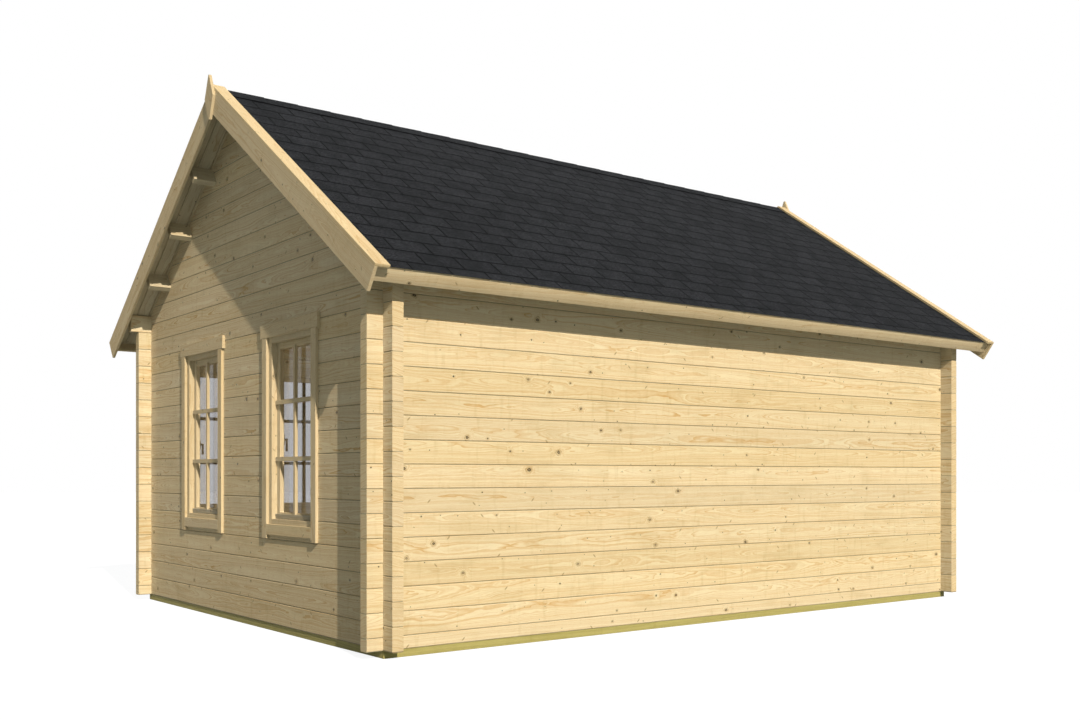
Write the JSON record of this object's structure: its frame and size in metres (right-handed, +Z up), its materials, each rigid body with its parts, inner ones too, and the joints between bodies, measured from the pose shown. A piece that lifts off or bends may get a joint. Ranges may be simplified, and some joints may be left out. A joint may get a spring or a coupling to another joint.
{
  "type": "log cabin",
  "caption": "Timber log cabin with crossed corners, casement windows in its gables, double doors at the front and a shingled pitched roof.",
  "frame": {"origin": "centre of the plan at the underside of the foundation beams", "axes": "+X along the long walls, from the left gable to the right gable; +Y from the plain back wall to the front wall with the doors; +Z up"},
  "size_m": [5.7766, 4.4114, 3.6592],
  "materials": {
    "log_pine": "planed spruce, unpainted",
    "trim_pine": "planed spruce boards, unpainted",
    "roof_pine": "planed spruce, unpainted",
    "floor_pine": "planed spruce boards, unpainted",
    "treated_timber": "pressure-treated timber, greenish",
    "shingle": "mineral-faced bitumen shingles, charcoal",
    "window_glass": "clear float glass",
    "handle_bronze": "dark bronze"
  },
  "bodies": {
    "root": {"foundation_beams": "treated_timber", "floor_bearers": "treated_timber", "floor_boards": "floor_pine", "back_wall_logs": "log_pine", "front_wall_logs": "log_pine", "left_gable_logs": "log_pine", "right_gable_logs": "log_pine", "ridge_purlin": "roof_pine", "back_purlins": "roof_pine", "front_purlins": "roof_pine", "back_roof_boards": "roof_pine", "front_roof_boards": "roof_pine", "back_shingles": "shingle", "front_shingles": "shingle", "ridge_cap": "shingle", "back_fascia": "trim_pine", "front_fascia": "trim_pine", "left_back_barge": "trim_pine", "left_front_barge": "trim_pine", "right_back_barge": "trim_pine", "right_front_barge": "trim_pine", "left_back_cover": "trim_pine", "left_front_cover": "trim_pine", "right_back_cover": "trim_pine", "right_front_cover": "trim_pine", "left_finial": "trim_pine", "right_finial": "trim_pine", "left_window_frames": "trim_pine", "left_window_sashes": "trim_pine", "left_window_glass": "window_glass", "left_window_casings": "trim_pine", "right_window_frames": "trim_pine", "right_window_sashes": "trim_pine", "right_window_glass": "window_glass", "right_window_casings": "trim_pine", "front_window_frames": "trim_pine", "front_window_sashes": "trim_pine", "front_window_glass": "window_glass", "front_window_casings": "trim_pine", "window_handles": "handle_bronze", "door_frame": "trim_pine", "door_leaves": "trim_pine", "door_glass": "window_glass", "door_casings": "trim_pine", "door_handles": "handle_bronze"}
  },
  "joints": []
}
